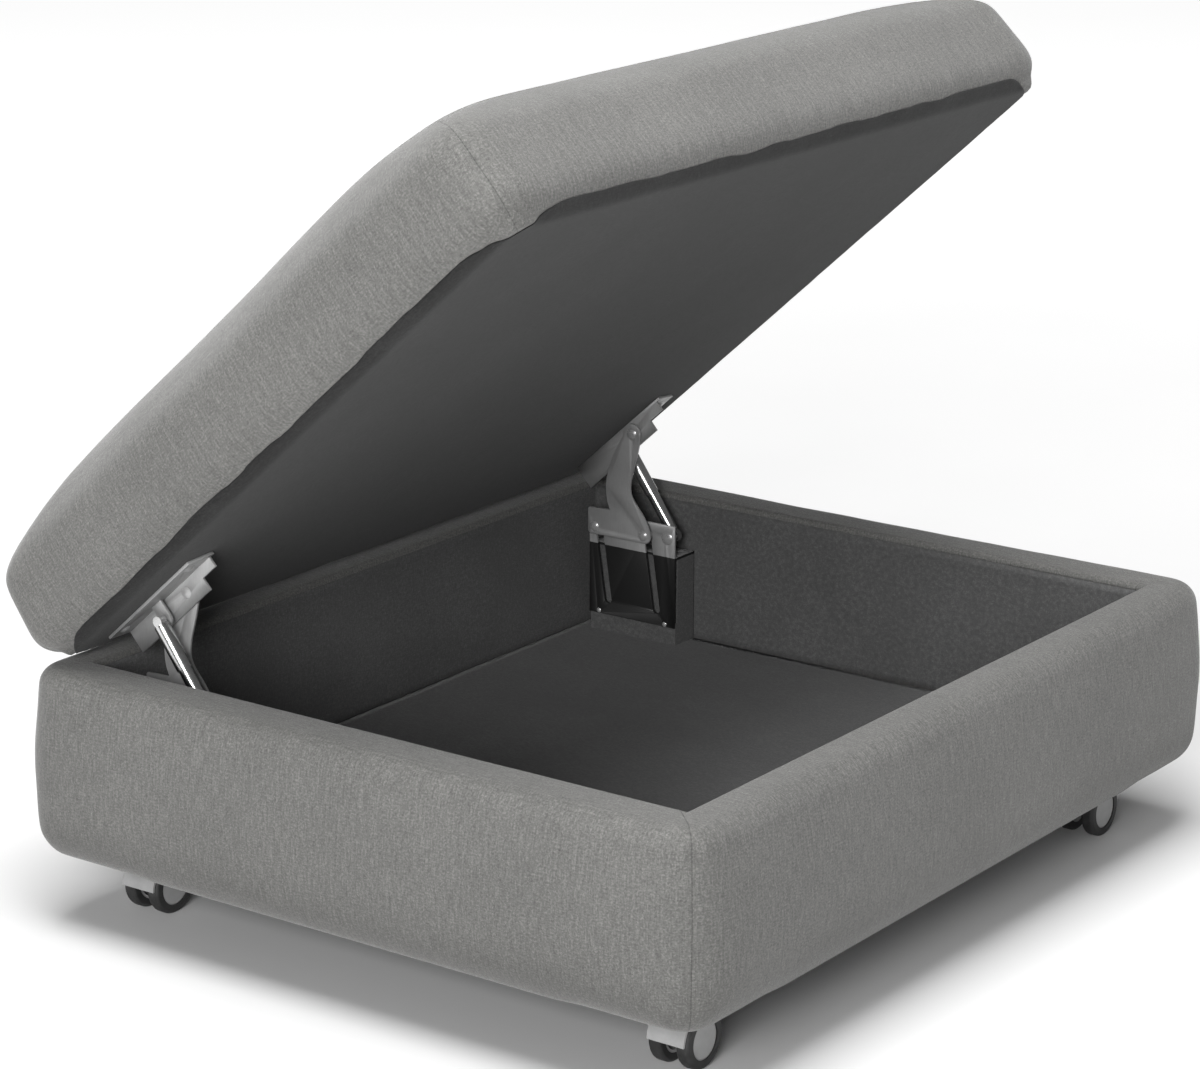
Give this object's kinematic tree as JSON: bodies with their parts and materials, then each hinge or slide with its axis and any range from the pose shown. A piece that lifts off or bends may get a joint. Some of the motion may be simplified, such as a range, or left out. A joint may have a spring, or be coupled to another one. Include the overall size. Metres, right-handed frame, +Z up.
{
  "type": "ottoman with storage",
  "caption": "Rectangular upholstered storage ottoman on twin-wheel casters, with a thick cushioned lid that lifts and tilts back on steel lift hinges",
  "frame": {"origin": "On the floor, under the middle of the whole object as it stands with its lid open", "axes": "+Z up; +X to the right along the long side, seen from the front; +Y to the rear, the side where the lid hinges"},
  "size_m": [1, 0.8898, 0.9066],
  "materials": {
    "fabric_grey": "matte",
    "foam": "matte",
    "wood": "matte",
    "felt_dark": "matte",
    "steel_satin": "satin",
    "steel_bright": "gloss",
    "tyre_black": "satin",
    "caster_grey": "satin"
  },
  "bodies": {
    "root": {"front_panel": "wood", "rear_panel": "wood", "left_panel": "wood", "right_panel": "wood", "floor_panel": "wood", "end_foam": "foam", "side_foam": "foam", "base_cover": "fabric_grey", "wall_lining": "felt_dark", "floor_lining": "felt_dark", "base_dust_cover": "felt_dark", "hinge_blocks": "wood", "guide_plate_left": "steel_satin", "guide_plate_right": "steel_satin", "guide_screws": "steel_bright", "spring_stud_left": "steel_bright", "spring_stud_right": "steel_bright", "caster_plates": "steel_satin", "caster_screws": "steel_bright"},
    "lid": {"lid_board": "wood", "lid_foam": "foam", "lid_cover": "fabric_grey", "lid_dust_cloth": "felt_dark", "lid_screws": "steel_bright", "lid_bracket_left": "steel_satin", "lid_bracket_right": "steel_satin"},
    "arm_left": {"lift_arm_left": "steel_satin", "arm_rivets_left": "steel_bright"},
    "spring_body_left": {"spring_cylinder_left": "steel_bright"},
    "spring_rod_left": {"spring_rod_left": "steel_bright"},
    "arm_right": {"lift_arm_right": "steel_satin", "arm_rivets_right": "steel_bright"},
    "spring_body_right": {"spring_cylinder_right": "steel_bright"},
    "spring_rod_right": {"spring_rod_right": "steel_bright"},
    "fork_front_left": {"caster_hood_front_left": "caster_grey", "caster_axle_front_left": "steel_bright"},
    "wheel_front_left_outer": {"tyre_front_left_outer": "tyre_black", "hub_front_left_outer": "caster_grey"},
    "wheel_front_left_inner": {"tyre_front_left_inner": "tyre_black", "hub_front_left_inner": "caster_grey"},
    "fork_front_right": {"caster_hood_front_right": "caster_grey", "caster_axle_front_right": "steel_bright"},
    "wheel_front_right_outer": {"tyre_front_right_outer": "tyre_black", "hub_front_right_outer": "caster_grey"},
    "wheel_front_right_inner": {"tyre_front_right_inner": "tyre_black", "hub_front_right_inner": "caster_grey"},
    "fork_rear_left": {"caster_hood_rear_left": "caster_grey", "caster_axle_rear_left": "steel_bright"},
    "wheel_rear_left_outer": {"tyre_rear_left_outer": "tyre_black", "hub_rear_left_outer": "caster_grey"},
    "wheel_rear_left_inner": {"tyre_rear_left_inner": "tyre_black", "hub_rear_left_inner": "caster_grey"},
    "fork_rear_right": {"caster_hood_rear_right": "caster_grey", "caster_axle_rear_right": "steel_bright"},
    "wheel_rear_right_outer": {"tyre_rear_right_outer": "tyre_black", "hub_rear_right_outer": "caster_grey"},
    "wheel_rear_right_inner": {"tyre_rear_right_inner": "tyre_black", "hub_rear_right_inner": "caster_grey"}
  },
  "joints": [
    {"name": "lid_tilt", "type": "hinge", "parent": "arm_left", "child": "lid", "pos_m": [0, 0.2591, 0.3605], "axis": [1, 0, 0], "range_deg": [0, 42], "stiffness_Nm_per_rad": 30, "springref_deg": -148.97},
    {"name": "lift_left", "type": "slide", "parent": "root", "child": "arm_left", "axis": [0, -0.1529, -0.9882], "range_m": [0, 0.09158]},
    {"name": "lift_right", "type": "slide", "parent": "root", "child": "arm_right", "axis": [0, -0.1529, -0.9882], "range_m": [0, 0.09158]},
    {"name": "spring_swing_left", "type": "hinge", "parent": "root", "child": "spring_body_left", "pos_m": [-0.416, 0.2131, 0.238], "axis": [1, 0, 0], "range_deg": [-34.87, 0]},
    {"name": "spring_stroke_left", "type": "slide", "parent": "spring_body_left", "child": "spring_rod_left", "axis": [0, 0.5887, 0.8084], "range_m": [-0.04198, 0]},
    {"name": "spring_swing_right", "type": "hinge", "parent": "root", "child": "spring_body_right", "pos_m": [0.416, 0.2131, 0.238], "axis": [1, 0, 0], "range_deg": [-34.87, 0]},
    {"name": "spring_stroke_right", "type": "slide", "parent": "spring_body_right", "child": "spring_rod_right", "axis": [0, 0.5887, 0.8084], "range_m": [-0.04198, 0]},
    {"name": "swivel_front_left", "type": "hinge", "parent": "root", "child": "fork_front_left", "pos_m": [-0.379, -0.3626, 0.08], "axis": [0, 0, 1], "continuous": true},
    {"name": "roll_front_left_outer", "type": "hinge", "parent": "fork_front_left", "child": "wheel_front_left_outer", "pos_m": [-0.393, -0.3788, 0.03], "axis": [0, 1, 0], "continuous": true},
    {"name": "roll_front_left_inner", "type": "hinge", "parent": "fork_front_left", "child": "wheel_front_left_inner", "pos_m": [-0.393, -0.3464, 0.03], "axis": [0, 1, 0], "continuous": true},
    {"name": "swivel_front_right", "type": "hinge", "parent": "root", "child": "fork_front_right", "pos_m": [0.379, -0.3626, 0.08], "axis": [0, 0, 1], "continuous": true},
    {"name": "roll_front_right_outer", "type": "hinge", "parent": "fork_front_right", "child": "wheel_front_right_outer", "pos_m": [0.393, -0.3788, 0.03], "axis": [0, 1, 0], "continuous": true},
    {"name": "roll_front_right_inner", "type": "hinge", "parent": "fork_front_right", "child": "wheel_front_right_inner", "pos_m": [0.393, -0.3464, 0.03], "axis": [0, 1, 0], "continuous": true},
    {"name": "swivel_rear_left", "type": "hinge", "parent": "root", "child": "fork_rear_left", "pos_m": [-0.379, 0.3128, 0.08], "axis": [0, 0, 1], "continuous": true},
    {"name": "roll_rear_left_outer", "type": "hinge", "parent": "fork_rear_left", "child": "wheel_rear_left_outer", "pos_m": [-0.393, 0.329, 0.03], "axis": [0, 1, 0], "continuous": true},
    {"name": "roll_rear_left_inner", "type": "hinge", "parent": "fork_rear_left", "child": "wheel_rear_left_inner", "pos_m": [-0.393, 0.2966, 0.03], "axis": [0, 1, 0], "continuous": true},
    {"name": "swivel_rear_right", "type": "hinge", "parent": "root", "child": "fork_rear_right", "pos_m": [0.379, 0.3128, 0.08], "axis": [0, 0, 1], "continuous": true},
    {"name": "roll_rear_right_outer", "type": "hinge", "parent": "fork_rear_right", "child": "wheel_rear_right_outer", "pos_m": [0.393, 0.329, 0.03], "axis": [0, 1, 0], "continuous": true},
    {"name": "roll_rear_right_inner", "type": "hinge", "parent": "fork_rear_right", "child": "wheel_rear_right_inner", "pos_m": [0.393, 0.2966, 0.03], "axis": [0, 1, 0], "continuous": true}
  ],
  "couplings": [
    {"joint": "lift_left", "follows": "lid_tilt", "m_per_rad": 0.12493},
    {"joint": "lift_right", "follows": "lid_tilt", "m_per_rad": 0.12493},
    {"joint": "spring_swing_left", "follows": "lid_tilt", "ratio": -0.8303},
    {"joint": "spring_stroke_left", "follows": "lid_tilt", "m_per_rad": -0.057269},
    {"joint": "spring_swing_right", "follows": "lid_tilt", "ratio": -0.8303},
    {"joint": "spring_stroke_right", "follows": "lid_tilt", "m_per_rad": -0.057269}
  ]
}
